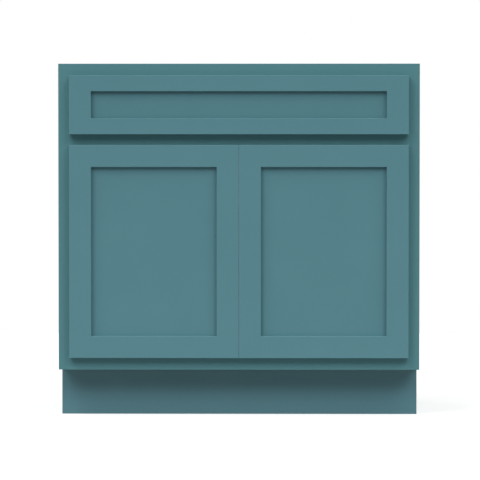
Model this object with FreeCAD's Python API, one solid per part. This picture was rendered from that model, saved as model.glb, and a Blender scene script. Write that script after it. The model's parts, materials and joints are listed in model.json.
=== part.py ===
import FreeCAD, Part
import math
import os

# Bath vanity cabinet: a painted face-frame sink base with a false drawer front over a pair of doors.
# Millimetres. +Z is up, the front faces -Y, and the origin is on the floor under the cabinet's middle.
# Left is the side of -X, as seen by someone who stands in front of the cabinet.

# Overall sizes
overall_width = 914.4
frame_height = 775.2
toe_height = 119.2
toe_setback = 76.2
box_depth = 533.4

# How the fronts lie on the face frame
side_reveal = 28.3
top_reveal = 30.3
bottom_reveal = 31.1
front_spacing = 27.3
false_front_height = 148.2
meeting_gap = 0.4
front_overlay = 12.7
door_gap = 3.0

# Doors and false front: five pieces each, with the panel loose in a groove
front_thickness = 19.0
front_stile_width = 55.8
door_rail_height = 55.3
false_rail_height = 39.7
recess_depth = 9.5
panel_thickness = 6.0
groove_depth = 9.5
panel_edge_gap = 1.5
tenon_end_gap = 0.5
edge_ease = 0.5
wood_fit = 0.1

# Face frame
frame_thickness = 19.0
frame_ease = 0.4
frame_tenon_length = 12.0
frame_tenon_thickness = 6.4
frame_tenon_shoulder = 7.0
frame_groove_depth = 6.0

# Plywood box
board_thickness = 12.7
side_inset = 3.2
dado_depth = 6.0
dado_end_gap = 0.4
deck_drop = 3.2
back_thickness = 6.4
hanging_rail_thickness = 19.0
hanging_rail_height = 89.0
toe_cover_thickness = 6.4

# Cleats that hold the false front from behind
cleat_thickness = 19.0
cleat_width = 60.0
cleat_lap = 25.0
cleat_from_end = 150.0
cleat_corner_ease = 3.0

# Corner braces, moulded in one piece with flanges and ribs
brace_leg = 95.0
brace_tip = 16.0
brace_plate = 3.5
brace_wall = 3.2
brace_height = 32.0
brace_end_height = 15.0
brace_rib_height = 20.0
brace_drop = 1.0
brace_boss_radius = 8.5
brace_hole_radius = 2.8
brace_hole_from_corner = 33.0
brace_screw_from_corner = 66.0

# Concealed hinges: a cup in the door, an arm on the frame, and one upright pin between them
hinge_from_end = 76.2
pivot_inset = 7.0
swing_clearance = 0.35
pin_radius = 1.1
pin_clearance = 0.05
pin_offset_share = 0.81
cup_radius = 17.4
cup_wall = 0.8
cup_fit = 0.1
cup_sides = 36
cup_floor_gap = 0.7
flange_thickness = 1.2
flange_rim = 2.2
ear_spacing = 45.0
ear_radius = 6.0
ear_offset = 9.5
arm_thickness = 1.35
arm_width = 7.0
arm_bend = 1.2
arm_lip_clearance = 0.5
arm_standoff = 0.6
arm_plate_width = 32.0
arm_plate_inset = 2.0
arm_plate_corner = 4.0
arm_screw_spacing = 19.0

# Fasteners and bumpers
screw_shank_radius = 1.8
screw_head_radius = 3.7
screw_head_height = 2.3
screw_point = 3.5
screw_sides = 6
pilot_fit = 0.05
cup_screw_length = 14.0
arm_screw_length = 18.0
brace_screw_length = 12.0
cleat_screw_length = 32.0
false_front_screw_length = 51.0
bumper_radius = 4.5
bumper_gap = 0.3
bumper_dome = 0.9
bumper_from_edge = 14.0
bumper_sides = 16
cleat_screw_shares = (0.25, 0.75)

# Shared overrun of every cutting tool, and how close two places count as the same
overrun = 2.0
same_place = 0.001

# Places that follow from the sizes above. A pair holds a low and a high limit.
half_width = overall_width / 2
front_y = -(box_depth + door_gap + front_thickness) / 2
rear_y = -front_y
door_y = (front_y, front_y + front_thickness)
frame_y = (door_y[1] + door_gap, door_y[1] + door_gap + frame_thickness)
top_z = toe_height + frame_height
false_front_z = (top_z - top_reveal - false_front_height, top_z - top_reveal)
door_z = (toe_height + bottom_reveal, false_front_z[0] - front_spacing)
front_edge_x = side_reveal - half_width
opening_x = front_edge_x + front_overlay
top_rail_z = (false_front_z[1] - front_overlay, top_z)
middle_rail_z = (door_z[1] - front_overlay, false_front_z[0] + front_overlay)
bottom_rail_z = (toe_height, door_z[0] + front_overlay)

side_x = (side_inset - half_width, side_inset - half_width + board_thickness)
deck_z = (bottom_rail_z[1] - deck_drop - board_thickness, bottom_rail_z[1] - deck_drop)
back_y = (rear_y - hanging_rail_thickness - back_thickness, rear_y - hanging_rail_thickness)
toe_face_y = frame_y[0] + toe_setback
toe_cover_y = (toe_face_y, toe_face_y + toe_cover_thickness)
toe_board_y = (toe_cover_y[1], toe_cover_y[1] + board_thickness)
rear_bottom_z = deck_z[1] - hanging_rail_height

# The pin stands as near the frame as lets the door's back corner swing past with its clearance.
pivot_reach = (pivot_inset**2 + door_gap**2 - swing_clearance**2) / (door_gap - swing_clearance) / 2
pivot_x = front_edge_x + pivot_inset
pivot_y = frame_y[0] - pivot_reach
knuckle_radius = pin_radius + pin_clearance + arm_thickness
cup_inner_radius = cup_radius - cup_wall
cup_x = pivot_x + cup_inner_radius * pin_offset_share
cup_depth = pivot_reach - door_gap + knuckle_radius + cup_floor_gap + cup_wall
hinge_levels = (door_z[0] + hinge_from_end, door_z[1] - hinge_from_end)

vector = FreeCAD.Vector
along_x, along_y, along_z = vector(1, 0, 0), vector(0, 1, 0), vector(0, 0, 1)
eighth_turn, quarter_turn, half_turn, full_turn = 45, 90, 180, 360


def both(x):
    """The span from -x to x, given either end."""
    return (-abs(x), abs(x))


def board(x, y, z):
    """A straight block between three pairs of planes."""
    return Part.makeBox(x[1] - x[0], y[1] - y[0], z[1] - z[0], vector(x[0], y[0], z[0]))


def rod(radius, start, direction, length):
    return Part.makeCylinder(radius, length, start, direction)


def plate(points, direction):
    """A flat outline pushed along a direction."""
    corners = [vector(*point) for point in points]
    return Part.Face(Part.makePolygon(corners + corners[:1])).extrude(direction)


def mirrored(shape):
    """The same piece on the other side of the cabinet."""
    return shape.mirror(vector(0, 0, 0), along_x)


def eased_block(x, y, z, ease):
    """A blank whose four front edges are taken off."""
    block = board(x, y, z)
    front = [e for e in block.Edges if all(abs(v.Y - y[0]) < same_place for v in e.Vertexes)]
    return block.makeChamfer(ease, front)


def eased_opening(x, y, z, ease):
    """A through opening that flares at the front, to be cut from a blank."""
    straight = board(x, (y[0] - overrun, y[1] + overrun), z)
    wide = ease + overrun
    flare = Part.makeWedge(x[0] - wide, y[0] - overrun, z[0] - wide, z[0], x[0],
                           x[1] + wide, y[0] + ease, z[1] + wide, z[1], x[1])
    return straight.fuse(flare)


def turned(points, place, direction, sides=screw_sides):
    """A small round piece with flat sides: each point is a distance along its axis and a radius."""
    def corner(along, radius, side):
        angle = math.radians(full_turn * (side % sides) / sides)
        return vector(radius * math.cos(angle), radius * math.sin(angle), along)

    faces = []
    for (along, radius), (next_along, next_radius) in zip(points, points[1:]):
        for side in range(sides):
            corners = [corner(along, radius, side)] + [corner(along, radius, side + 1)] * (radius > 0)
            corners += [corner(next_along, next_radius, side + 1)]
            corners += [corner(next_along, next_radius, side)] * (next_radius > 0)
            faces.append(Part.Face(Part.makePolygon(corners + corners[:1])))
    solid = Part.makeSolid(Part.makeShell(faces)).removeSplitter()
    solid.Placement = FreeCAD.Placement(place, FreeCAD.Rotation(along_z, direction))
    return solid


# Doors and false front

def five_piece_front(x, y, z, rail_height):
    """Stiles over the full height, rails tenoned into their grooves, and a panel loose in the grooves."""
    inside_x = (x[0] + front_stile_width, x[1] - front_stile_width)
    inside_z = (z[0] + rail_height, z[1] - rail_height)
    panel_y = (y[0] + recess_depth, y[0] + recess_depth + panel_thickness)
    groove_y = (panel_y[0] - wood_fit, panel_y[1] + wood_fit)
    groove_x = (inside_x[0] - groove_depth, inside_x[1] + groove_depth)
    groove_z = (inside_z[0] - groove_depth, inside_z[1] + groove_depth)
    tenon_x = (groove_x[0] + tenon_end_gap, groove_x[1] - tenon_end_gap)
    blank = eased_block(x, y, z, edge_ease).cut(eased_opening(inside_x, y, inside_z, edge_ease))
    stile_groove = board(groove_x, groove_y, (z[0] - overrun, z[1] + overrun))
    rail_groove = board(x, groove_y, groove_z)
    pieces = {}
    for name, limits in (("stile_left", (x[0], inside_x[0])), ("stile_right", (inside_x[1], x[1]))):
        pieces[name] = blank.common(board(limits, y, z)).cut(stile_groove)
    for name, limits in (("rail_bottom", (z[0], inside_z[0])), ("rail_top", (inside_z[1], z[1]))):
        rail = blank.common(board(inside_x, y, limits)).fuse(board(tenon_x, panel_y, limits))
        pieces[name] = rail.cut(rail_groove).removeSplitter()
    pieces["panel"] = board(
        (groove_x[0] + panel_edge_gap, groove_x[1] - panel_edge_gap),
        panel_y,
        (groove_z[0] + panel_edge_gap, groove_z[1] - panel_edge_gap),
    )
    return pieces


def soft_discs(places, height):
    """Discs of soft plastic stuck on the back of a front, each with its rim taken off."""
    profile = [(0, 0), (0, bumper_radius), (height - bumper_dome, bumper_radius),
               (height, bumper_radius - bumper_dome), (height, 0)]
    return Part.makeCompound([turned(profile, place, along_y, bumper_sides) for place in places])


def bumpers():
    """Two discs on the back of the door's meeting stile, just short of the frame's rails."""
    x = -meeting_gap / 2 - bumper_from_edge
    levels = (door_z[0] + front_overlay / 2, door_z[1] - front_overlay / 2)
    return soft_discs([vector(x, door_y[1], z) for z in levels], door_gap - bumper_gap)


def false_front_pads():
    """Discs between the frame and the false front, which its screws pull tight. They bring it level with
    the doors."""
    levels = (false_front_z[0] + front_overlay / 2, false_front_z[1] - front_overlay / 2)
    columns = both(front_edge_x + cleat_from_end + cleat_width / 2)
    return soft_discs([vector(x, door_y[1], z) for x in columns for z in levels], door_gap)


# Concealed hinge, modelled on the left door

def flat_sided_rod(radius, start, direction, length, sides):
    """A rod with few sides, for small round forms that repeat."""
    return turned([(0, 0), (0, radius), (length, radius), (length, 0)], start, direction, sides)


def hinge_flange(z):
    """The cup's flange on the door's back: a round rim with an ear above and below, each with a screw.
    It is cut flush with the cup on the side next to the door's edge."""
    back_y = (door_y[1], door_y[1] + flange_thickness)
    rim_radius = cup_radius + flange_rim
    ear_x = cup_x + ear_offset
    ear_z = (z - ear_spacing / 2, z + ear_spacing / 2)
    rim = flat_sided_rod(rim_radius, vector(cup_x, back_y[0], z), along_y, flange_thickness, cup_sides)
    ears = [board((ear_x - ear_radius, ear_x + ear_radius), back_y, ear_z)]
    for level in ear_z:
        place = vector(ear_x, back_y[0], level)
        ears.append(flat_sided_rod(ear_radius, place, along_y, flange_thickness, bumper_sides))
    beyond_x = (cup_x - rim_radius - overrun, cup_x - cup_radius)
    beyond_y = (back_y[0] - overrun, back_y[1] + overrun)
    return rim.fuse(ears).cut(board(beyond_x, beyond_y, (z - rim_radius, z + rim_radius)))


def hinge_cup(z):
    """A drawn cup with its flange and a hole across it for the pin."""
    floor = vector(cup_x, door_y[1] - cup_depth, z)
    cup = flat_sided_rod(cup_radius, floor, along_y, cup_depth, cup_sides).fuse(hinge_flange(z))
    hollow = flat_sided_rod(cup_inner_radius, floor + along_y * cup_wall, along_y,
                            cup_depth + flange_thickness, cup_sides)
    pin_socket = pin_radius / math.cos(math.pi / screw_sides)
    pin_hole = flat_sided_rod(pin_socket, vector(pivot_x, pivot_y, z - cup_radius), along_z,
                              cup_radius * 2, screw_sides)
    return cup.cut(hollow).cut(pin_hole).removeSplitter()


def hinge_pin(z):
    """The pin crosses the cup and ends in its wall on both sides."""
    half = math.sqrt(cup_radius**2 - (cup_x - pivot_x + pin_radius) ** 2)
    return rod(pin_radius, vector(pivot_x, pivot_y, z - half), along_z, half * 2)


def bend(x, y, z, start, sweep):
    """A quarter ring of the arm's strip: its centre, its span in height, and its first angle."""
    ring = Part.makeCylinder(arm_bend + arm_thickness, z[1] - z[0], vector(x, y, z[0]), along_z, sweep)
    ring.rotate(vector(x, y, z[0]), along_z, start)
    return ring.cut(rod(arm_bend, vector(x, y, z[0]), along_z, z[1] - z[0]))


def hinge_arm(z):
    """One bent strip: it curls round the pin, leaves the cup clear of the swinging lip of the door,
    steps back round the frame's edge and lies flat against it, where two screws hold it."""
    narrow = (z - arm_width / 2, z + arm_width / 2)
    wide = (z - arm_plate_width / 2, z + arm_plate_width / 2)
    pin_bore = pin_radius + pin_clearance
    lip_reach = math.hypot(pivot_inset, pivot_reach - door_gap)
    run_y = (pivot_y - knuckle_radius, pivot_y - pin_bore)
    run_x = pivot_x + lip_reach + arm_lip_clearance
    jog_y = (frame_y[0] + arm_standoff, frame_y[0] + arm_standoff + arm_thickness)
    plate_x = (opening_x, opening_x + arm_thickness)
    knuckle = rod(knuckle_radius, vector(pivot_x, pivot_y, narrow[0]), along_z, arm_width)
    inner_x = run_x - arm_bend
    turn_x = plate_x[1] + arm_bend
    strip = knuckle.fuse([
        board((pivot_x, inner_x), run_y, narrow),
        bend(inner_x, run_y[1] + arm_bend, narrow, -quarter_turn, quarter_turn),
        board((run_x, run_x + arm_thickness), (run_y[1] + arm_bend, jog_y[0] - arm_bend), narrow),
        bend(inner_x, jog_y[0] - arm_bend, narrow, 0, quarter_turn),
        board((min(turn_x, inner_x), inner_x), jog_y, narrow),
    ])
    strip = strip.cut(rod(pin_bore, vector(pivot_x, pivot_y, narrow[0]), along_z, arm_width))
    foot_y = (jog_y[1] + arm_bend, frame_y[1] - arm_plate_inset)
    foot = board(plate_x, foot_y, wide)
    corners = [e for e in foot.Edges
               if all(abs(v.Y - foot_y[1]) < same_place for v in e.Vertexes)
               and abs(e.Vertexes[0].X - e.Vertexes[1].X) > same_place]
    foot = foot.makeFillet(arm_plate_corner, corners)
    foot = foot.fuse(bend(turn_x, foot_y[0], wide, half_turn, quarter_turn))
    return strip.fuse(foot).removeSplitter()


# Screws

def flat_head_screw(place, direction, length):
    """A countersunk screw. Its place is the middle of its head's face."""
    return turned([(0, 0), (0, screw_head_radius), (screw_head_height, screw_shank_radius),
                   (length - screw_point, screw_shank_radius), (length, 0)], place, direction)


def flat_head_pilot(place, direction, length):
    """The hole of a countersunk screw through everything that it holds."""
    head, shank = screw_head_radius + pilot_fit, screw_shank_radius + pilot_fit
    return turned([(-overrun, 0), (-overrun, head), (0, head), (screw_head_height, shank),
                   (length, shank), (length, 0)], place, direction)


def pan_head_screw(place, direction, length):
    """A screw with a raised head. Its place is under the head, on the piece that it holds."""
    return turned([(-screw_head_height, 0), (-screw_head_height, screw_shank_radius),
                   (-screw_head_height / 2, screw_head_radius), (0, screw_head_radius),
                   (0, screw_shank_radius), (length - screw_point, screw_shank_radius), (length, 0)],
                  place, direction)


def pan_head_pilot(place, direction, length):
    shank = screw_shank_radius + pilot_fit
    return turned([(0, 0), (0, shank), (length, shank), (length, 0)], place, direction)


# Face frame

def face_frame():
    """One eased blank with two openings, parted where the rails meet the stiles."""
    x, z = both(half_width), (toe_height, top_z)
    inside_x = both(opening_x)
    blank = eased_block(x, frame_y, z, frame_ease)
    for low, high in ((bottom_rail_z[1], middle_rail_z[0]), (middle_rail_z[1], top_rail_z[0])):
        blank = blank.cut(eased_opening(inside_x, frame_y, (low, high), frame_ease))
    middle_y = sum(frame_y) / 2
    tenon_y = (middle_y - frame_tenon_thickness / 2, middle_y + frame_tenon_thickness / 2)
    tenon_x = both(opening_x - frame_tenon_length)
    mortises = []
    pieces = {}
    for name, limits in (("top", top_rail_z), ("middle", middle_rail_z), ("bottom", bottom_rail_z)):
        tenon_z = (limits[0] + frame_tenon_shoulder, limits[1] - frame_tenon_shoulder)
        rail = blank.common(board(inside_x, frame_y, limits))
        pieces["frame_rail_" + name] = rail.fuse(board(tenon_x, tenon_y, tenon_z)).removeSplitter()
        mortises.append(board(both(opening_x - frame_tenon_length - tenon_end_gap),
                              (tenon_y[0] - wood_fit, tenon_y[1] + wood_fit),
                              (tenon_z[0] - wood_fit, tenon_z[1] + wood_fit)))
    side_groove = board((side_x[0] - wood_fit, side_x[1] + wood_fit),
                        (frame_y[1] - frame_groove_depth, frame_y[1] + overrun),
                        (z[0] - overrun, z[1] + overrun))
    stile = blank.common(board((x[0], opening_x), frame_y, z)).cut(mortises + [side_groove])
    pieces["frame_stile_left"] = stile
    pieces["frame_stile_right"] = mirrored(stile)
    return pieces


# Plywood box

def side_panel():
    """The left side, with the toe-kick notch, the deck's dado and the groove for the back."""
    front = frame_y[1] - frame_groove_depth + dado_end_gap
    groove_x = (side_x[1] - dado_depth, side_x[1] + overrun)
    through_x = (side_x[0] - overrun, side_x[1] + overrun)
    notch = board(through_x, (front - overrun, toe_cover_y[1]), (-overrun, toe_height))
    dado = board(groove_x, (frame_y[1], back_y[0]), (deck_z[0] - wood_fit, deck_z[1] + wood_fit))
    groove = board(groove_x, (back_y[0] - wood_fit, back_y[1] + wood_fit),
                   (rear_bottom_z - wood_fit, top_z + overrun))
    return board(side_x, (front, rear_y), (0, top_z)).cut([notch, dado, groove])


def box_pieces():
    between = both(side_x[1])
    housed = both(side_x[1] - dado_depth + dado_end_gap)
    side = side_panel()
    return {
        "side_panel_left": side,
        "side_panel_right": mirrored(side),
        "deck_panel": board(housed, (frame_y[1], back_y[0]), deck_z),
        "deck_support": board(both(board_thickness / 2), (toe_board_y[1], back_y[0]), (0, deck_z[0])),
        "toe_kick_board": board(between, toe_board_y, (0, deck_z[0])),
        "toe_kick_cover": board(both(side_x[0]), toe_cover_y, (0, toe_height)),
        "back_panel": board(housed, back_y, (rear_bottom_z, top_z)),
        "hanging_rail_top": board(between, (back_y[1], rear_y), (top_z - hanging_rail_height, top_z)),
        "hanging_rail_bottom": board(between, (back_y[1], rear_y), (rear_bottom_z, deck_z[1])),
    }


def cleat():
    """The left cleat, upright behind the frame across the false front's opening."""
    x = front_edge_x + cleat_from_end
    z = (middle_rail_z[1] - cleat_lap, top_rail_z[0] + cleat_lap)
    y = (frame_y[1], frame_y[1] + cleat_thickness)
    block = board((x, x + cleat_width), y, z)
    return block.makeChamfer(cleat_corner_ease, [e for e in block.Edges
                                                 if all(abs(v.Y - y[1]) < same_place for v in e.Vertexes)])


# Corner brace, modelled with its corner at the origin, its legs along +X and +Y and its top at zero

def brace_flange():
    """The upright flange along X, deep in the corner and shallow at its end."""
    return plate([(0, 0, 0), (brace_leg, 0, 0), (brace_leg, 0, -brace_end_height),
                  (brace_hole_from_corner, 0, -brace_height), (0, 0, -brace_height)], along_y * brace_wall)


def corner_brace():
    outline = [(0, 0), (brace_leg, 0), (brace_leg, brace_tip), (brace_tip, brace_leg), (0, brace_leg)]
    whole = plate([(x, y, 0) for x, y in outline], -along_z * brace_height)
    top = plate([(x, y, 0) for x, y in outline], -along_z * brace_plate)
    middle = (brace_leg + brace_tip) / 2
    half_diagonal = math.hypot(brace_leg, brace_leg) / 2
    edge_rib = board((-brace_wall, 0), (-half_diagonal, half_diagonal), (-brace_end_height, 0))
    slanted = FreeCAD.Rotation(along_z, eighth_turn)
    edge_rib.Placement = FreeCAD.Placement(vector(middle, middle, 0), slanted)
    web = board((0, math.hypot(middle, middle)), both(brace_wall / 2), (-brace_rib_height, 0))
    web.Placement = FreeCAD.Placement(vector(0, 0, 0), slanted)
    hole = vector(brace_hole_from_corner, brace_hole_from_corner, -brace_rib_height)
    boss = rod(brace_boss_radius, hole, along_z, brace_rib_height)
    flange = brace_flange()
    other_flange = flange.mirror(vector(0, 0, 0), along_x - along_y)
    body = top.fuse([flange, other_flange, edge_rib, web, boss]).common(whole).removeSplitter()
    drill = rod(brace_hole_radius, hole - along_z * overrun, along_z, brace_rib_height + overrun * 2)
    return body.cut(drill)


def brace_places():
    """For each corner of the box: its name, its corner point, and the directions of its two legs."""
    z = top_z - brace_drop
    for end, y, inward in (("front", frame_y[1], 1), ("rear", back_y[0], -1)):
        for side, x, across in (("left", side_x[1], 1), ("right", -side_x[1], -1)):
            yield f"corner_brace_{end}_{side}", vector(x, y, z), across, inward


def placed_brace(corner, across, inward):
    brace = corner_brace()
    if across < 0:
        brace = mirrored(brace)
    if inward < 0:
        brace = brace.mirror(vector(0, 0, 0), along_y)
    brace.translate(corner)
    return brace


def brace_screw_seats():
    """A screw through each flange, pointing into the frame, the sides and the back."""
    level = -(brace_plate + brace_end_height) / 2
    reach = brace_screw_from_corner
    for _, corner, across, inward in brace_places():
        yield corner + vector(across * reach, inward * brace_wall, level), along_y * -inward
        yield corner + vector(across * brace_wall, inward * reach, level), along_x * -across


# Where the other screws sit

def cup_screw_seats():
    y = door_y[1] + flange_thickness
    for z in hinge_levels:
        for side in (-1, 1):
            yield vector(cup_x + ear_offset, y, z + side * ear_spacing / 2), -along_y


def arm_screw_seats():
    """Two screws through the middle of each arm's foot, into the edge of the stile."""
    foot_y = (frame_y[0] + arm_standoff + arm_thickness + arm_bend, frame_y[1] - arm_plate_inset)
    for z in hinge_levels:
        for side in (-1, 1):
            place = vector(opening_x + arm_thickness, sum(foot_y) / 2, z + side * arm_screw_spacing / 2)
            yield place, -along_x


def cleat_screw_seats():
    """Two screws at each end of the cleat, into the frame's top and middle rails."""
    for share in cleat_screw_shares:
        for z in (middle_rail_z[1] - cleat_lap / 2, top_rail_z[0] + cleat_lap / 2):
            x = front_edge_x + cleat_from_end + cleat_width * share
            yield vector(x, frame_y[1] + cleat_thickness, z), -along_y


def false_front_screw_seats():
    """Long screws through the cleat and the opening, into the rails of the false front."""
    rails = (false_front_z[0] + false_rail_height, false_front_z[1] - false_rail_height)
    lips = (middle_rail_z[1], top_rail_z[0])
    for rail, lip in zip(rails, lips):
        x = front_edge_x + cleat_from_end + cleat_width / 2
        yield vector(x, frame_y[1] + cleat_thickness, (rail + lip) / 2), -along_y


def both_sides(seats):
    """Each seat and its mirror image."""
    for place, direction in list(seats):
        yield place, direction
        yield vector(-place.x, place.y, place.z), vector(-direction.x, direction.y, direction.z)


def other_side(seats):
    for place, direction in seats:
        yield vector(-place.x, place.y, place.z), vector(-direction.x, direction.y, direction.z)


def screw_groups():
    """Name of each group of identical screws, its seats, its length and its head."""
    flat, pan = (flat_head_screw, flat_head_pilot), (pan_head_screw, pan_head_pilot)
    return {
        "door_left_cup_screws": (list(cup_screw_seats()), cup_screw_length, flat),
        "door_right_cup_screws": (list(other_side(cup_screw_seats())), cup_screw_length, flat),
        "hinge_arm_screws": (list(both_sides(arm_screw_seats())), arm_screw_length, pan),
        "corner_brace_screws": (list(brace_screw_seats()), brace_screw_length, pan),
        "cleat_screws": (list(both_sides(cleat_screw_seats())), cleat_screw_length, flat),
        "false_front_screws": (list(both_sides(false_front_screw_seats())), false_front_screw_length, flat),
    }


def door_pieces():
    """The left door with its hinge cups, and the right door as its mirror image."""
    front = five_piece_front((front_edge_x, -meeting_gap / 2), door_y, door_z, door_rail_height)
    bores = [rod(cup_radius + cup_fit, vector(cup_x, door_y[1] - cup_depth - cup_fit, z), along_y,
                 cup_depth + cup_fit + overrun) for z in hinge_levels]
    left = {
        "hinge_stile": front["stile_left"].cut(bores),
        "meeting_stile": front["stile_right"],
        "rail_top": front["rail_top"],
        "rail_bottom": front["rail_bottom"],
        "panel": front["panel"],
        "hinge_cup_lower": hinge_cup(hinge_levels[0]),
        "hinge_cup_upper": hinge_cup(hinge_levels[1]),
        "hinge_pins": Part.makeCompound([hinge_pin(z) for z in hinge_levels]),
        "bumpers": bumpers(),
    }
    pieces = {}
    for name, shape in left.items():
        pieces["door_left_" + name] = shape
        pieces["door_right_" + name] = mirrored(shape)
    return pieces


def hinge_arms():
    pieces = {}
    for end, z in zip(("lower", "upper"), hinge_levels):
        arm = hinge_arm(z)
        pieces[f"hinge_arm_left_{end}"] = arm
        pieces[f"hinge_arm_right_{end}"] = mirrored(arm)
    return pieces


def bored(shape, holes):
    """A piece with every screw hole that reaches it."""
    near = [hole for hole in holes if shape.BoundBox.intersect(hole.BoundBox)]
    return shape.cut(near) if near else shape


def cabinet():
    pieces = {**face_frame(), **box_pieces(), **door_pieces(), **hinge_arms()}
    pieces["front_cleat_left"] = cleat()
    pieces["front_cleat_right"] = mirrored(cleat())
    front = five_piece_front(both(front_edge_x), door_y, false_front_z, false_rail_height)
    pieces.update({"false_front_" + name: shape for name, shape in front.items()})
    pieces["false_front_pads"] = false_front_pads()
    for name, corner, across, inward in brace_places():
        pieces[name] = placed_brace(corner, across, inward)
    groups = screw_groups()
    for seats, length, (_, pilot) in groups.values():
        holes = [pilot(place, direction, length) for place, direction in seats]
        pieces = {name: bored(shape, holes) for name, shape in pieces.items()}
    for name, (seats, length, (screw, _)) in groups.items():
        pieces[name] = Part.makeCompound([screw(place, direction, length) for place, direction in seats])
    return pieces


os.makedirs("parts", exist_ok=True)
for name, shape in cabinet().items():
    shape.exportStep(f"parts/{name}.step")
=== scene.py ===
# %% [markdown]
# # A painted bath vanity cabinet
#
# This script dresses a measured model of a bathroom base cabinet: a face frame with a wide false drawer
# front and two doors, all spray painted teal, on a birch plywood box. The boards, joints and hinges come
# from the measured model, at their real size. What is left for Blender is what a camera sees of them: the
# paint film, the plies on the cut edges, the plating of the hinges, the drive recess of each screw, and
# the light.

# %% Load the measured frame
import json
import math

import bmesh
import bpy
from mathutils import Matrix, Vector


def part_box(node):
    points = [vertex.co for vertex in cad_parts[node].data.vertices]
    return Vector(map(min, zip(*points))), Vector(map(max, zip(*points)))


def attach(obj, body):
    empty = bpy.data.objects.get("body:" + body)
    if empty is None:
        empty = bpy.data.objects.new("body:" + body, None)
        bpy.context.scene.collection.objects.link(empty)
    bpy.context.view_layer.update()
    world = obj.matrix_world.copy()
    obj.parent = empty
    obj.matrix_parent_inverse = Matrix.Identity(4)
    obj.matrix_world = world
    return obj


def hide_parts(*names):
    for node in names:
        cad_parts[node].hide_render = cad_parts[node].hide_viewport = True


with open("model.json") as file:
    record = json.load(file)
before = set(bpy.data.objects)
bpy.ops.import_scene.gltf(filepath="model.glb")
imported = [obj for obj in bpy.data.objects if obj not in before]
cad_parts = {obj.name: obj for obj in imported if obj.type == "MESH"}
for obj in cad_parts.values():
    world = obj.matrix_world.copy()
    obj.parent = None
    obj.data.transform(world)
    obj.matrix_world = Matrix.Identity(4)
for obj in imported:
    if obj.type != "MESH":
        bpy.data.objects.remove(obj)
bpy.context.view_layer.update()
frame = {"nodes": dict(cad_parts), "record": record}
nodes = frame["nodes"]
bodies = frame["record"]["behaviour"]["bodies"]
body_of_node = {node: body for body, held in bodies.items() for node in held}
slot_of_node = {row["node"]: row["material_slot"] for row in frame["record"]["subparts"]}
DIGITS = 4


# %% [markdown]
# ## Shader maths as expressions
#
# A finish is a small program of nodes. Wiring each Math node by hand hides what it works out, so a `Wire`
# stands for an output socket and takes part in ordinary sums and products. Every other node comes from
# one method, `NodeTree.node`, which makes it, sets it up, and then fills or links its inputs. The same
# method serves the materials, the sky and a modifier's node group.

# %% Wires and node trees


class Wire:
    """An output socket that can be used in Python expressions."""

    def __init__(self, tree, socket):
        self.tree, self.socket = tree, socket

    def math(self, operation, *values):
        return self.tree.node("ShaderNodeMath", {"operation": operation}, dict(enumerate(values)))

    def __add__(self, other):
        return self.math("ADD", self, other)

    def __sub__(self, other):
        return self.math("SUBTRACT", self, other)

    def __rsub__(self, other):
        return self.math("SUBTRACT", other, self)

    def __mul__(self, other):
        return self.math("MULTIPLY", self, other)

    def __truediv__(self, other):
        return self.math("DIVIDE", self, other)

    def __gt__(self, other):
        return self.math("GREATER_THAN", self, other)

    def __abs__(self):
        return self.math("ABSOLUTE", self)

    def fraction(self):
        return self.math("FRACT", self)

    def largest(self, other):
        return self.math("MAXIMUM", self, other)

    def smallest(self, other):
        return self.math("MINIMUM", self, other)

    __radd__, __rmul__ = __add__, __mul__


class NodeTree:
    """The nodes of a finish, of the sky or of a modifier."""

    def __init__(self, tree):
        self.tree = tree

    def feed(self, socket, value):
        """Links a wire to a socket, or fills the socket with a plain value."""
        if isinstance(value, Wire):
            self.tree.links.new(value.socket, socket)
        else:
            socket.default_value = value

    def node(self, kind, settings=None, inputs=None, output=0):
        """Any node: its settings come first, then the values or wires of its sockets."""
        made = self.tree.nodes.new(kind)
        for name, value in (settings or {}).items():
            if name == "stops":
                stops = made.color_ramp.elements
                while len(stops) < len(value):
                    stops.new(1)
                for stop, (place, colour) in zip(stops, value):
                    stop.position, stop.color = place, colour
            else:
                setattr(made, name, value)
        for name, value in (inputs or {}).items():
            self.feed(made.inputs[name], value)
        return Wire(self, made.outputs[output]) if made.outputs else None

    def seen(self):
        """One where the camera looks, straight on, in a reflection or through clear plastic."""
        camera, gloss, glass = (self.node("ShaderNodeLightPath", output=f"Is {kind} Ray")
                                for kind in ("Camera", "Glossy", "Transmission"))
        return camera.largest(gloss).largest(glass)


print("a wire knows", sum(name.startswith("__") for name in vars(Wire)), "special names")

# %% [markdown]
# ## A finish
#
# A finish starts from Blender's general surface shader. Two facts about a point decide most of what
# follows: its place on the piece, and the direction that the piece faces there. Both are taken in the
# piece's own space, so a grain or a ply stays put when a door swings. Relief goes through a Bump node, in
# metres.

# %% Finishes and colours
FACES_ALONG = 0.7
# The colour sockets of a Mix node, which has a set of them for each kind of data
MIX_FIRST, MIX_SECOND, MIX_RESULT = 6, 7, 2
# The curve that relates a swatch's numbers to the light that it reflects
SWATCH_FULL = 255
CURVE_START, CURVE_SLOPE = 0.04045, 12.92
CURVE_OFFSET, CURVE_POWER = 0.055, 2.4
MID_GREY = 128
# How many finer layers a noise has
SMOOTH_NOISE, PLAIN_NOISE, CLOUDY_NOISE, FIBROUS_NOISE, RAGGED_NOISE = 1, 2, 3, 4, 5
NOISE_MIDDLE = 0.5
GRAIN_STRETCH = 0.03


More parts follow.
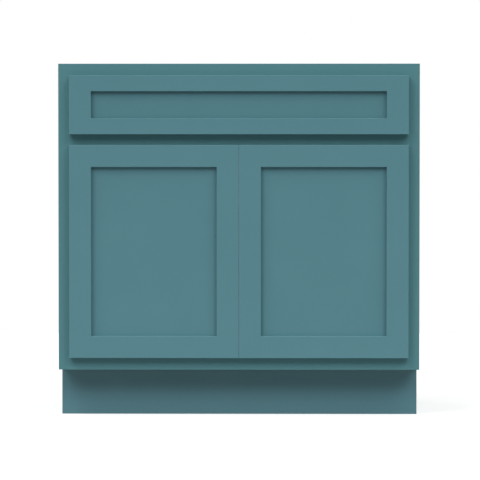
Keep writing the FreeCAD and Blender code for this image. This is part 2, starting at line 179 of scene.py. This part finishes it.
class Finish(NodeTree):
    """A material under construction."""

    def __init__(self, name):
        self.material = bpy.data.materials.new(name)
        self.material.use_nodes = True
        super().__init__(self.material.node_tree)
        self.shader = self.tree.nodes["Principled BSDF"]
        self.place = self.node("ShaderNodeTexCoord", output="Object")
        self.facing = self.node("ShaderNodeTexCoord", output="Normal")

    def set(self, **inputs):
        """Values or wires for the shader's own sockets, with _ for a space in their names."""
        for name, value in inputs.items():
            self.feed(self.shader.inputs[name.replace("_", " ")], value)

    def noise(self, scale, detail=PLAIN_NOISE, stretch=(1, 1, 1)):
        """Noise with that many blobs to a metre, drawn out where stretch is below one."""
        drawn = self.node("ShaderNodeMapping", {}, {"Vector": self.place, "Scale": stretch})
        return self.node("ShaderNodeTexNoise", {}, {"Vector": drawn, "Scale": scale, "Detail": detail})

    def blend(self, factor, first, second):
        """One colour turning into another."""
        inputs = {"Factor": factor, MIX_FIRST: first, MIX_SECOND: second}
        return self.node("ShaderNodeMix", {"data_type": "RGBA"}, inputs, output=MIX_RESULT)

    def ramp(self, factor, *stops):
        """A run of colours, each given with its place between 0 and 1."""
        return self.node("ShaderNodeValToRGB", {"stops": stops}, {"Fac": factor})

    def axis(self, vector, name):
        return self.node("ShaderNodeSeparateXYZ", {}, {"Vector": vector}, output=name)

    def faces(self, axis, sign=0):
        """One on the sides that face along an axis: both of them, or the one that the sign picks."""
        along_it = self.axis(self.facing, axis)
        return (along_it * sign if sign else abs(along_it)) > FACES_ALONG

    def bump(self, height, depth):
        """Relief of that depth in metres."""
        inputs = {"Height": height, "Distance": depth, "Strength": 1.0}
        self.set(Normal=self.node("ShaderNodeBump", {}, inputs))


def shade(red, green, blue):
    """A colour read off a swatch, from 0 to 255, as the light values that a shader works in."""
    def light(value):
        value = value / SWATCH_FULL
        if value <= CURVE_START:
            return value / CURVE_SLOPE
        return ((value + CURVE_OFFSET) / (1 + CURVE_OFFSET)) ** CURVE_POWER
    return (light(red), light(green), light(blue), 1)


def along(axis, share=GRAIN_STRETCH):
    """A stretch for noise that is drawn out along one axis."""
    return tuple(share if name == axis else 1.0 for name in "XYZ")


print("a mid grey swatch reflects", round(shade(MID_GREY, MID_GREY, MID_GREY)[0], DIGITS))

# %% [markdown]
# ## Teal paint
#
# The fronts and the frame are sprayed with a satin paint. Seen close, such a film isn't flat: it has the
# fine pebble of sprayed paint and a trace of the wood's grain on the solid rails and stiles. The level
# eased arrises are given a lighter colour, a painted highlight. A panel is given a darker colour for a
# few centimetres along its stiles and under its top rail: painted shade from the recess's walls. All of
# this is worked out from the place on the piece and from the way that it faces.
#
# The panels are flat fibreboard, so they get no grain. Their colour is a touch darker, the wide one of the
# drawer front most: painted shade, for their place at the back of the recess. The frame is sprayed as
# part of the box and the toe kick's cover as loose trim, apart from the fronts, so the frame's film is a
# touch greener than theirs and the cover's a touch greyer.

# %% Paint
FRONT_FILM = (shade(89, 134, 143), shade(85, 130, 139))
# The panels' colours are a touch darker than the fronts': painted shade for their place in the recess.
SHADED_PANEL_FILM = (shade(87, 132, 141), shade(83, 128, 137))
SHADED_WIDE_PANEL_FILM = (shade(85, 130, 138), shade(81, 126, 134))
FRAME_FILM = (shade(85, 133, 139), shade(81, 129, 135))
TOE_FILM = (shade(91, 132, 142), shade(87, 128, 138))
# A lighter colour on the level eased arrises: a painted highlight.
PAINTED_ARRIS_HIGHLIGHT = shade(108, 152, 160)
ARRIS_HIGHLIGHT_REACH = 1.4
# A darker colour along a panel's stiles and top rail: painted shade from the recess's walls.
PAINTED_PANEL_SHADE = shade(58, 96, 104)
PANEL_SHADE_SHARE = 0.22
PANEL_SHADE_REACH = 0.045
GROOVE_DEPTH = 0.009
CLOUD = 9
PEBBLE = 700
GRAIN = 260
PEBBLE_RELIEF = 0.5
GRAIN_RELIEF = 0.8
GRAIN_TINT = 0.10
FILM_RELIEF = 0.00004
FILM_ROUGH = 0.36
FILM_ROUGH_CLOUD = 0.05
FILM_ROUGH_PEBBLE = 0.04
FILM_GLOSS = 0.18
BARE_WOOD = (shade(214, 186, 146), shade(196, 162, 118))
BARE_GRAIN = 180
BARE_ROUGH = 0.15


def arris_highlight(finish):
    """Painted highlight: one on a level eased arris, facing outward and up or down, zero on a flat side."""
    outward, up = (abs(finish.axis(finish.facing, name)) for name in "YZ")
    return outward.smallest(up) * ARRIS_HIGHLIGHT_REACH


def panel_edge_shade(finish, panel):
    """Painted shade: one where a panel meets its stiles and its top rail, fading to zero further in."""
    low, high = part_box(panel)
    across, up = (finish.axis(finish.place, name) for name in "XZ")
    inset = (across - low.x).smallest(high.x - across).smallest(high.z - up) - GROOVE_DEPTH
    nearness = (1 - inset / PANEL_SHADE_REACH).largest(0)
    return nearness * nearness


def paint(name, film, grain_axis=None, bare_side=None, panel=None):
    """Satin paint. A bare side is an axis and a direction. A named panel gets painted shade at its edges."""
    finish = Finish(name)
    cloud = finish.noise(CLOUD, detail=CLOUDY_NOISE)
    pebble = finish.noise(PEBBLE, detail=SMOOTH_NOISE)
    # The level arrises get a painted highlight.
    colour = finish.blend(arris_highlight(finish), finish.blend(cloud, *film), PAINTED_ARRIS_HIGHLIGHT)
    if panel:
        # Painted shade along the panel's stiles and top rail.
        colour = finish.blend(panel_edge_shade(finish, panel) * PANEL_SHADE_SHARE, colour, PAINTED_PANEL_SHADE)
    relief = pebble * PEBBLE_RELIEF
    if grain_axis:
        fibre = finish.noise(GRAIN, detail=FIBROUS_NOISE, stretch=along(grain_axis))
        relief = relief + fibre * GRAIN_RELIEF
        colour = finish.blend(fibre * GRAIN_TINT, colour, film[1])
    rough = FILM_ROUGH + cloud * FILM_ROUGH_CLOUD + pebble * FILM_ROUGH_PEBBLE
    if bare_side:
        bare = finish.faces(*bare_side)
        fibre = finish.noise(BARE_GRAIN, detail=RAGGED_NOISE, stretch=along(grain_axis))
        colour = finish.blend(bare, colour, finish.blend(fibre, *BARE_WOOD))
        rough = rough + bare * BARE_ROUGH
    finish.set(Base_Color=colour, Roughness=rough, Specular_IOR_Level=FILM_GLOSS)
    finish.bump(relief, FILM_RELIEF)
    return finish.material


FRONT_UPRIGHT = paint("paint_upright", FRONT_FILM, "Z")
FRONT_LEVEL = paint("paint_level", FRONT_FILM, "X")
PANELS = {
    "door_left_panel": paint("paint_left_panel", SHADED_PANEL_FILM, panel="door_left_panel"),
    "door_right_panel": paint("paint_right_panel", SHADED_PANEL_FILM, panel="door_right_panel"),
    "false_front_panel": paint("paint_wide_panel", SHADED_WIDE_PANEL_FILM, panel="false_front_panel"),
}
FRAME_UPRIGHT = paint("frame_upright", FRAME_FILM, "Z", ("Y", 1))
FRAME_LEVEL = paint("frame_level", FRAME_FILM, "X", ("Y", 1))
TOE_COVER = paint("toe_cover", TOE_FILM)
print("the teal of the fronts reflects", [round(value, DIGITS) for value in FRONT_FILM[0][:3]])
print("paint nodes on a stile:", len(FRONT_UPRIGHT.node_tree.nodes))

# %% [markdown]
# ## Birch plywood
#
# The box is plywood. Its faces are rotary-cut birch: the knife peels the log like a roll of paper, so the
# year rings open out into long wandering bands, and fine pores lie along them. Its cut edges show the
# plies: thin layers that are pale where the fibres lie along the edge and dark where they end in it.
# Which side of a board is an edge follows from the direction that it faces, and each ply from how deep it
# lies between the two faces, so one function serves every board.

# %% Plywood
BIRCH_STOPS = ((0.0, shade(205, 173, 128)), (0.14, shade(217, 190, 149)), (0.55, shade(229, 207, 171)),
               (1.0, shade(222, 197, 158)))
PORE = shade(176, 142, 100)
PORE_SCALE = 450
PORE_STRETCH = 0.04
PORE_TINT = 0.5
PORE_FROM = 0.56
PORE_SPREAD = 6.0
RING_WANDER = 8
RING_STRETCH = 0.16
RINGS = 13
FIBRE = 900
FIBRE_STRETCH = 0.02
FIBRE_TINT = 0.25
WOOD_ROUGH = 0.42
WOOD_ROUGH_FIBRE = 0.14
WOOD_RELIEF = 0.00006
PLY_LONG = shade(222, 196, 156)
PLY_END = shade(168, 128, 88)
PLY_THICKNESS = 0.0014
END_PORE = 1500
END_PORE_TINT = 0.45


def birch_face(finish, grain_axis):
    """The wandering year rings, fibres and pores of a rotary-cut face."""
    wander = finish.noise(RING_WANDER, detail=CLOUDY_NOISE, stretch=along(grain_axis, RING_STRETCH))
    rings = abs((wander * RINGS).fraction() * 2 - 1)
    fibre = finish.noise(FIBRE, detail=CLOUDY_NOISE, stretch=along(grain_axis, FIBRE_STRETCH))
    figure = finish.ramp(rings + (fibre - NOISE_MIDDLE) * FIBRE_TINT, *BIRCH_STOPS)
    pores = finish.noise(PORE_SCALE, stretch=along(grain_axis, PORE_STRETCH))
    pores = ((pores - PORE_FROM) * PORE_SPREAD).largest(0)
    return finish.blend(pores * PORE_TINT, figure, PORE), fibre


def ply_edge(finish, node, thickness_axis):
    """Pale and dark layers across the thickness of a board."""
    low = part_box(node)[0]["XYZ".index(thickness_axis)]
    pair = (finish.axis(finish.place, thickness_axis) - low) / (2 * PLY_THICKNESS)
    ends = pair.fraction() > 0.5
    pores = finish.noise(END_PORE)
    return finish.blend(ends * (1 - END_PORE_TINT + pores * END_PORE_TINT), PLY_LONG, PLY_END)


def plywood(node, thickness_axis, grain_axis, painted_side=None):
    """A board of plywood. The painted side, if any, is an axis and a direction."""
    finish = Finish("ply_" + node)
    face, fibre = birch_face(finish, grain_axis)
    wood = finish.blend(finish.faces(thickness_axis), ply_edge(finish, node, thickness_axis), face)
    rough = WOOD_ROUGH + fibre * WOOD_ROUGH_FIBRE
    if painted_side:
        painted = finish.faces(*painted_side)
        film = finish.blend(finish.noise(CLOUD, detail=CLOUDY_NOISE), *FRAME_FILM)
        wood = finish.blend(painted, wood, film)
        rough = rough + painted * (FILM_ROUGH - WOOD_ROUGH)
    finish.set(Base_Color=wood, Roughness=rough)
    finish.bump(fibre, WOOD_RELIEF)
    return finish.material


BOARDS = {
    "side_panel_left": ("X", "Z", ("X", -1)),
    "side_panel_right": ("X", "Z", ("X", 1)),
    "deck_panel": ("Z", "X"),
    "deck_support": ("X", "Y"),
    "toe_kick_board": ("Y", "X"),
    "back_panel": ("Y", "Z"),
    "hanging_rail_top": ("Y", "X"),
    "hanging_rail_bottom": ("Y", "X"),
    "front_cleat_left": ("Y", "Z"),
    "front_cleat_right": ("Y", "Z"),
}
plywood_of_board = {board: plywood(board, *directions) for board, directions in BOARDS.items()}
print("plywood boards:", len(plywood_of_board))

# %% [markdown]
# ## Metal, plastic and rubber
#
# The hinges are pressed from nickel-plated strip and the screws are zinc plated. Plating hides most of
# the steel's texture, but long rolling marks stay in it and the gloss varies a little. The corner braces
# are moulded in off-white plastic with a faint spark-eroded texture, and the bumpers are clear soft
# plastic.

# %% Plated metal, moulded plastic and clear bumpers
NICKEL_TINT = (shade(206, 202, 194), shade(192, 188, 180))
ZINC_TINT = (shade(196, 200, 206), shade(182, 186, 192))
PLASTIC_TINT = (shade(229, 226, 215), shade(220, 216, 204))
CLEAR_TINT = (shade(226, 229, 228), shade(208, 212, 212))
NICKEL_ROUGH = 0.20
ZINC_ROUGH = 0.24
ROLLING = 1400
ROLLING_STRETCH = 0.04
ROLLING_ROUGH = 0.10
ROLLING_RELIEF = 0.00001
GLOSS_CLOUD = 60
GLOSS_CLOUD_ROUGH = 0.08
SPARK = 2200
SPARK_ROUGH = 0.16
SPARK_RELIEF = 0.00005
PLASTIC_CLOUD = 40
PLASTIC_ROUGH = 0.42
PLASTIC_GLOW = 0.08
PLASTIC_GLOW_REACH = (0.002, 0.002, 0.0015)
HAZE = 800
HAZE_ROUGH = 0.12
HAZE_RELIEF = 0.00003
CLEAR_ROUGH = 0.22
CLEAR_SHARE = 0.45
CLEAR_BENDING = 1.48


def plated(name, tint, rough, rolled_axis):
    """Plated steel whose rolling marks run along an axis."""
    finish = Finish(name)
    marks = finish.noise(ROLLING, detail=CLOUDY_NOISE, stretch=along(rolled_axis, ROLLING_STRETCH))
    rough = rough + marks * ROLLING_ROUGH + finish.noise(GLOSS_CLOUD) * GLOSS_CLOUD_ROUGH
    finish.set(Base_Color=finish.blend(marks, *tint), Roughness=rough, Metallic=1.0)
    finish.bump(marks, ROLLING_RELIEF)
    return finish.material


def moulded_plastic():
    """Off-white plastic that lets a little light in."""
    finish = Finish("moulded_plastic")
    spark = finish.noise(SPARK)
    colour = finish.blend(finish.noise(PLASTIC_CLOUD), *PLASTIC_TINT)
    finish.set(Base_Color=colour, Roughness=PLASTIC_ROUGH + spark * SPARK_ROUGH)
    finish.set(Subsurface_Weight=PLASTIC_GLOW, Subsurface_Radius=PLASTIC_GLOW_REACH)
    finish.bump(spark, SPARK_RELIEF)
    return finish.material


def clear_plastic():
    """Soft plastic, clear but for a haze."""
    finish = Finish("clear_plastic")
    haze = finish.noise(HAZE)
    finish.set(Base_Color=finish.blend(haze, *CLEAR_TINT), Roughness=CLEAR_ROUGH + haze * HAZE_ROUGH)
    finish.set(Transmission_Weight=CLEAR_SHARE, IOR=CLEAR_BENDING)
    finish.bump(haze, HAZE_RELIEF)
    return finish.material


FITTINGS = {
    "nickel_steel": plated("nickel_plate", NICKEL_TINT, NICKEL_ROUGH, "Z"),
    "zinc_steel": plated("zinc_plate", ZINC_TINT, ZINC_ROUGH, "Y"),
    "brace_plastic": moulded_plastic(),
    "bumper_rubber": clear_plastic(),
}
print("finishes of the fittings:", ", ".join(FITTINGS))

# %% [markdown]
# ## Dress the boards and fittings
#
# The measured pieces already have the right shape, with their eased edges, grooves, dadoes and tenons, so
# they stay and only change their finish. A solid stile has its grain upright and a rail has it level. The
# back of the face frame faces into the box and is left unpainted, and the sides are painted only where
# they show.

# %% Give each measured piece its finish


def finish_of(node):
    """The material that a measured node is shown in."""
    if node in plywood_of_board:
        return plywood_of_board[node]
    if slot_of_node[node] in FITTINGS:
        return FITTINGS[slot_of_node[node]]
    if node == "toe_kick_cover":
        return TOE_COVER
    if node.startswith("frame_"):
        return FRAME_UPRIGHT if "stile" in node else FRAME_LEVEL
    if node in PANELS:
        return PANELS[node]
    return FRONT_UPRIGHT if "stile" in node else FRONT_LEVEL


for name, piece in nodes.items():
    piece.data.materials.clear()
    piece.data.materials.append(finish_of(name))
print("dressed", len(nodes), "measured nodes")

# %% [markdown]
# ## Pressed and moulded edges
#
# Sheet metal and moulded plastic never have a knife edge. The measured meshes keep each face apart, so a
# weld joins them first, and the facets of each flat side become one, so that nothing crosses it. Round
# walls then get smooth shading, up to a fixed angle, from a small node group, and a narrow bevel rounds
# every edge that is sharper. All are modifiers, so the measured mesh underneath isn't touched.

# %% Round the edges of the small parts
WELD_REACH = 0.00001
FLAT_ANGLE = math.radians(1)
SHARP_ANGLE = math.radians(35)
EDGE_RADIUS = {"hinge_arm": 0.00025, "hinge_cup": 0.00015, "corner_brace": 0.0006}
EDGE_STEPS = 2
ROUND_PARTS = ("hinge_pins", "bumpers", "pads")


def smooth_by_angle():
    """A node group that smooths every face and keeps the edges sharp that turn more than the sharp angle."""
    group = bpy.data.node_groups.new("smooth_by_angle", "GeometryNodeTree")
    group.interface.new_socket("Geometry", in_out="INPUT", socket_type="NodeSocketGeometry")
    group.interface.new_socket("Geometry", in_out="OUTPUT", socket_type="NodeSocketGeometry")
    tree = NodeTree(group)
    mesh = tree.node("NodeGroupInput")
    turn = tree.node("GeometryNodeInputMeshEdgeAngle")
    for domain, selection, smooth in (("FACE", True, True), ("EDGE", turn > SHARP_ANGLE, False)):
        inputs = {"Geometry": mesh, "Selection": selection, "Shade Smooth": smooth}
        mesh = tree.node("GeometryNodeSetShadeSmooth", {"domain": domain}, inputs)
    tree.node("NodeGroupOutput", {}, {0: mesh})
    return group


def soften(piece, radius):
    """Smooth round walls, with a narrow bevel on each sharp edge where a radius is given."""
    weld = piece.modifiers.new("weld", "WELD")
    weld.merge_threshold = WELD_REACH
    flat = piece.modifiers.new("flat", "DECIMATE")
    flat.decimate_type, flat.angle_limit = "DISSOLVE", FLAT_ANGLE
    piece.modifiers.new("smooth", "NODES").node_group = SMOOTH_GROUP
    if radius:
        bevel = piece.modifiers.new("edges", "BEVEL")
        bevel.width, bevel.segments = radius, EDGE_STEPS
        bevel.limit_method, bevel.angle_limit = "ANGLE", SHARP_ANGLE
        bevel.harden_normals = True


SMOOTH_GROUP = smooth_by_angle()
softened = {}
for name, piece in nodes.items():
    for kind, radius in EDGE_RADIUS.items():
        if kind in name and not name.endswith("screws"):
            softened[name] = radius
    if name.endswith(ROUND_PARTS):
        softened[name] = None
for name, radius in softened.items():
    soften(nodes[name], radius)
print("softened", len(softened), "pieces")

# %% [markdown]
# ## Screws with a real drive
#
# Each screw of the measured model is a plain six-sided peg. Its place, its length and the way it points
# can be read from that peg, and a turned screw then takes over: a head with a cross recess, a shank with
# a running thread, and a point. The thread is one sheet of mesh whose radius rises and falls along a
# helix, which costs far less than sweeping a ridge round the shank.

# %% Rings of a turned screw
SIDES = 24
HEAD_RADIUS = 0.0037
HEAD_HEIGHT = 0.0023
HEAD_RIM = 0.08
HEAD_TOP_SHARE = 0.97
CROWN_RINGS = 5
CROWN_SHARE = 0.35
SHANK_RADIUS = 0.0018
THREAD_PITCH = 0.0018
THREAD_DEPTH = 0.0005
THREAD_STEEPNESS = 4
RINGS_PER_TURN = 4
POINT_LENGTH = 0.0035
POINT_RADIUS = 0.00012
TRIAL_LENGTH = 0.018


def sheet_of_rings(mesh, rings):
    """Joins rings of vertices, each as long as the next, into a closed skin."""
    for ring, following in zip(rings, rings[1:]):
        for side in range(len(ring)):
            after = (side + 1) % len(ring)
            mesh.faces.new((ring[side], ring[after], following[after], following[side]))
    mesh.faces.new(list(reversed(rings[0])))
    mesh.faces.new(rings[-1])
    bmesh.ops.recalc_face_normals(mesh, faces=mesh.faces)


def ring(mesh, height, radius_at):
    """One ring of vertices whose radius may change with the angle."""
    made = []
    for side in range(SIDES):
        angle = math.tau * side / SIDES
        radius = radius_at(angle)
        made.append(mesh.verts.new((radius * math.cos(angle), radius * math.sin(angle), height)))
    return made


def as_mesh(mesh, name):
    """Turns a working mesh into one that an object can hold."""
    data = bpy.data.meshes.new(name)
    mesh.to_mesh(data)
    mesh.free()
    return data


def head_profile(countersunk):
    """Height and radius from the crown of the head down to its neck. The seat is at zero height."""
    if countersunk:
        return [(0, HEAD_RADIUS * HEAD_TOP_SHARE), (HEAD_HEIGHT * HEAD_RIM, HEAD_RADIUS),
                (HEAD_HEIGHT, SHANK_RADIUS)]
    crown = []
    for step in range(CROWN_RINGS + 1):
        turn = math.pi / 2 * step / CROWN_RINGS
        share = CROWN_SHARE + (1 - CROWN_SHARE) * math.sin(turn)
        crown.append((-HEAD_HEIGHT * math.cos(turn), HEAD_RADIUS * share))
    return crown + [(0, SHANK_RADIUS)]


def thread_radius(height, length):
    """The radius at each angle: a ridge that runs round the shank and fades into the point."""
    taper = min(1.0, (length - height) / POINT_LENGTH)

    def radius_at(angle):
        turn = (height / THREAD_PITCH - angle / math.tau) % 1
        ridge = max(0.0, 1 - abs(turn - 0.5) * THREAD_STEEPNESS)
        return max(POINT_RADIUS, (SHANK_RADIUS - THREAD_DEPTH * (1 - ridge)) * taper)
    return radius_at


def turned_screw(length, countersunk):
    """A screw that points along +Z, with its seat at the origin."""
    mesh = bmesh.new()
    rings = [ring(mesh, height, lambda angle, r=radius: r) for height, radius in head_profile(countersunk)]
    neck = HEAD_HEIGHT if countersunk else 0
    count = int((length - neck) / THREAD_PITCH * RINGS_PER_TURN)
    for step in range(1, count + 1):
        height = neck + (length - neck) * step / count
        rings.append(ring(mesh, height, thread_radius(height, length)))
    sheet_of_rings(mesh, rings)
    return as_mesh(mesh, "turned_screw")


trial = turned_screw(TRIAL_LENGTH, False)
print("a turned screw of", TRIAL_LENGTH, "m has", len(trial.polygons), "faces")
bpy.data.meshes.remove(trial)

# %% [markdown]
# ## The cross recess
#
# The driver's cross is stamped into the head when the screw is made. Here a tapered cross is cut from the
# turned head with an exact boolean, because the recess crosses the rings of the head in ways that would
# be hard to build by hand. It is cut once for each kind of screw, and the result is then copied to every
# seat.

# %% Cut the recess
RECESS_DEPTH = 0.0015
RECESS_MOUTH = (0.0028, 0.00056)
RECESS_BOTTOM = (0.0014, 0.00034)


def recess_cutter(crown):
    """A cross that narrows as it goes down, with its mouth above the crown."""
    mesh = bmesh.new()
    rings = []
    mouth, bottom = (crown - RECESS_DEPTH, RECESS_MOUTH), (crown + RECESS_DEPTH, RECESS_BOTTOM)
    for height, (reach, half) in (mouth, bottom):
        arm = ((half, -half), (reach, -half), (reach, half))
        corners = []
        for quarter in range(4):
            turn = Matrix.Rotation(math.pi / 2 * quarter, 3, "Z")
            corners += [turn @ Vector((x, y, height)) for x, y in arm]
        rings.append([mesh.verts.new(corner) for corner in corners])
    sheet_of_rings(mesh, rings)
    return as_mesh(mesh, "recess")


def cut_recess(screw, crown):
    """The screw with its recess, as a mesh of its own."""
    body = bpy.data.objects.new("screw_body", screw)
    tool = bpy.data.objects.new("recess_tool", recess_cutter(crown))
    for thing in (body, tool):
        bpy.context.scene.collection.objects.link(thing)
    cut = body.modifiers.new("recess", "BOOLEAN")
    cut.object, cut.operation, cut.solver = tool, "DIFFERENCE", "EXACT"
    shown = body.evaluated_get(bpy.context.evaluated_depsgraph_get())
    made = bpy.data.meshes.new_from_object(shown)
    for thing in (body, tool):
        bpy.data.objects.remove(thing)
    return made


trial = cut_recess(turned_screw(TRIAL_LENGTH, False), -HEAD_HEIGHT)
print("and with its recess", len(trial.polygons))
bpy.data.meshes.remove(trial)

# %% [markdown]
# ## A screw in every seat
#
# The screws of one group are one node with separate solids. Walking along the edges of its mesh finds
# them one by one. The longest side of each is its axis, and the wider end is its head. Every screw is
# given a slightly different turn, because nobody stops them all with their crosses in line.

# %% Put a turned screw on each peg
SAME_POINT = 0.000005
SAME_END = 0.0001
CROSS_TURN = math.radians(37)


def islands(node):
    """The separate solids of a measured node, each as a list of points."""
    mesh = bmesh.new()
    mesh.from_mesh(nodes[node].data)
    bmesh.ops.remove_doubles(mesh, verts=mesh.verts, dist=SAME_POINT)
    left, found = set(mesh.verts), []
    while left:
        group, edge = [], [left.pop()]
        while edge:
            vertex = edge.pop()
            group.append(vertex.co.copy())
            for link in vertex.link_edges:
                other = link.other_vert(vertex)
                if other in left:
                    left.remove(other)
                    edge.append(other)
        found.append(group)
    mesh.free()
    return sorted(found, key=lambda points: tuple(sum(points, Vector())))


def seat_of(points):
    """The middle of the head's end, the direction of the point, and the length from end to end."""
    low = Vector(tuple(min(p[i] for p in points) for i in range(3)))
    high = Vector(tuple(max(p[i] for p in points) for i in range(3)))
    axis = max(range(3), key=lambda i: high[i] - low[i])
    middle = (low + high) / 2
    ends = []
    for value, inward in ((low[axis], 1), (high[axis], -1)):
        near = [p for p in points if abs(p[axis] - value) < SAME_END]
        place, direction = middle.copy(), Vector((0, 0, 0))
        place[axis], direction[axis] = value, inward
        spread = max((p - place).length for p in near)
        ends.append((spread, place, direction))
    spread, place, direction = max(ends, key=lambda end: end[0])
    return place, direction, high[axis] - low[axis]


def screw_group(node, countersunk):
    """One piece with a turned screw on every peg of a group."""
    seats = [seat_of(points) for points in islands(node)]
    raised = 0 if countersunk else HEAD_HEIGHT
    pattern = cut_recess(turned_screw(seats[0][2] - raised, countersunk), -raised)
    mesh = bmesh.new()
    for index, (place, direction, _) in enumerate(seats):
        start = len(mesh.verts)
        mesh.from_mesh(pattern)
        mesh.verts.ensure_lookup_table()
        seat = Matrix.Translation(place + direction * raised)
        turn = Vector((0, 0, 1)).rotation_difference(direction).to_matrix().to_4x4()
        spin = Matrix.Rotation(CROSS_TURN * index, 4, "Z")
        bmesh.ops.transform(mesh, matrix=seat @ turn @ spin, verts=mesh.verts[start:])
    data = as_mesh(mesh, node + "_turned")
    data.materials.append(FITTINGS[slot_of_node[node]])
    piece = bpy.data.objects.new(node + "_turned", data)
    bpy.context.scene.collection.objects.link(piece)
    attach(piece, body_of_node[node])
    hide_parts(node)
    return len(seats)


made = {node: screw_group(node, "arm" not in node and "brace" not in node)
        for node in sorted(nodes) if node.endswith("screws")}
print("turned screws:", made)

# %% [markdown]
# ## Floor and sky
#
# The photograph is a catalogue picture on plain white: one very large soft light stands in front and
# above, so the fronts are evenly lit, each recess is shaded under its top edge, and the toe kick falls
# into shadow. The floor is pale and keeps a soft shadow. It is only a few metres wide, so the light that
# it throws up is a little weaker at the top of the cabinet than at the toe kick. The sky lights the
# object with a mild grey. Both show as white where they are seen, straight on, in a reflection or through
# clear plastic, and a Light Path node tells these looks apart from the light that falls on the object.

# %% Floor and sky
FLOOR_HALF = 3.0
FLOOR_GREY = 0.46
FLOOR_GRIT = 0.02
FLOOR_GRIT_SCALE = 90
FLOOR_ROUGH = 0.7
FLOOR_ROUGH_GRIT = 0.1
FLOOR_GLOW = 0.64
SKY_LEVEL = 0.08


def grey(value):
    return (value, value, value, 1)


def floor():
    """A pale floor that keeps the object's shadow. Its glow, which lights nothing, lifts it to white."""
    mesh = bmesh.new()
    bmesh.ops.create_grid(mesh, x_segments=1, y_segments=1, size=FLOOR_HALF)
    piece = bpy.data.objects.new("floor", as_mesh(mesh, "floor"))
    bpy.context.scene.collection.objects.link(piece)
    finish = Finish("floor")
    grit = finish.noise(FLOOR_GRIT_SCALE)
    pale, dark = (grey(FLOOR_GREY * share) for share in (1 + FLOOR_GRIT, 1 - FLOOR_GRIT))
    rough = FLOOR_ROUGH + grit * FLOOR_ROUGH_GRIT
    finish.set(Base_Color=finish.blend(grit, pale, dark), Roughness=rough, Specular_IOR_Level=0.0)
    surface = Wire(finish, finish.shader.outputs[0])
    glow = finish.node("ShaderNodeEmission", {}, {"Color": grey(1), "Strength": FLOOR_GLOW})
    lifted = finish.node("ShaderNodeAddShader", {}, {0: surface, 1: glow})
    shown = finish.node("ShaderNodeMixShader", {}, {0: finish.seen(), 1: surface, 2: lifted})
    finish.feed(finish.tree.nodes["Material Output"].inputs["Surface"], shown)
    piece.data.materials.append(finish.material)


def sky():
    """A grey sky for the object, and a white one where it is seen."""
    world = bpy.data.worlds.new("studio")
    world.use_nodes = True
    bpy.context.scene.world = world
    tree = NodeTree(world.node_tree)
    background = world.node_tree.nodes["Background"]
    tree.feed(background.inputs["Color"], grey(1))
    tree.feed(background.inputs["Strength"], tree.seen() * (1 - SKY_LEVEL) + SKY_LEVEL)


floor()
sky()
print("floor of", 2 * FLOOR_HALF, "m under a sky of level", SKY_LEVEL)

# %% [markdown]
# ## Lamps
#
# A soft box far away is a sun lamp with a wide angle. A few of them, spread in height and to both sides,
# stand for the one big light in front and the weaker ones behind, which the other views need. Each has a
# height, a side and a level. The levels were found by rendering the cabinet with one lamp at a time,
# solving for the mix that gives the photograph's shading, and rounding it.

# %% Lamps
SOFTNESS = math.radians(30)
FRONT_LAMPS = ((15, -40, 0.12), (40, -40, 0.88), (40, 0, 0.57), (40, 40, 0.97),
               (62, -50, 0.90), (62, 50, 0.45))
BACK_LAMPS = ((40, 145, 0.50), (40, -145, 0.55))


def soft_lamp(height, side, strength):
    """A distant lamp as wide as a large soft box. Its height and its side are angles in degrees."""
    lamp = bpy.data.lights.new("soft_lamp", "SUN")
    lamp.angle, lamp.energy = SOFTNESS, strength
    up, turn = math.radians(height), math.radians(side)
    source = Vector((math.cos(up) * math.sin(turn), -math.cos(up) * math.cos(turn), math.sin(up)))
    holder = bpy.data.objects.new("soft_lamp", lamp)
    holder.rotation_mode = "QUATERNION"
    holder.rotation_quaternion = (-source).to_track_quat("-Z", "Y")
    bpy.context.scene.collection.objects.link(holder)


for setting in FRONT_LAMPS + BACK_LAMPS:
    soft_lamp(*setting)
print("lamps:", len(FRONT_LAMPS), "in front and", len(BACK_LAMPS), "behind")

# %% [markdown]
# ## Camera
#
# The camera repeats the photograph's: far away with a long lens, so upright edges stay upright, a little
# above the middle and a little to the right. Its place and lens come from fitting the edges of the frame
# and the fronts.

# %% Camera
EYE_RIGHT = 0.0968
EYE_DISTANCE = 7.25
EYE_HEIGHT = 0.6847
YAW = -0.01296
PITCH = 0.03258
LENS = 214.86
SENSOR = 36.0

lens = bpy.data.cameras.new("camera")
lens.lens, lens.sensor_width = LENS, SENSOR
camera = bpy.data.objects.new("camera", lens)
camera.location = (EYE_RIGHT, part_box("frame_rail_top")[0].y - EYE_DISTANCE, EYE_HEIGHT)
gaze = Vector((math.sin(YAW) * math.cos(PITCH), math.cos(YAW) * math.cos(PITCH), -math.sin(PITCH)))
camera.rotation_mode = "QUATERNION"
camera.rotation_quaternion = gaze.to_track_quat("-Z", "Y")
bpy.context.scene.collection.objects.link(camera)
bpy.context.scene.camera = camera
bpy.context.scene.view_settings.view_transform = "Standard"
print("the camera stands at", [round(value, DIGITS) for value in camera.location])

# %% [markdown]
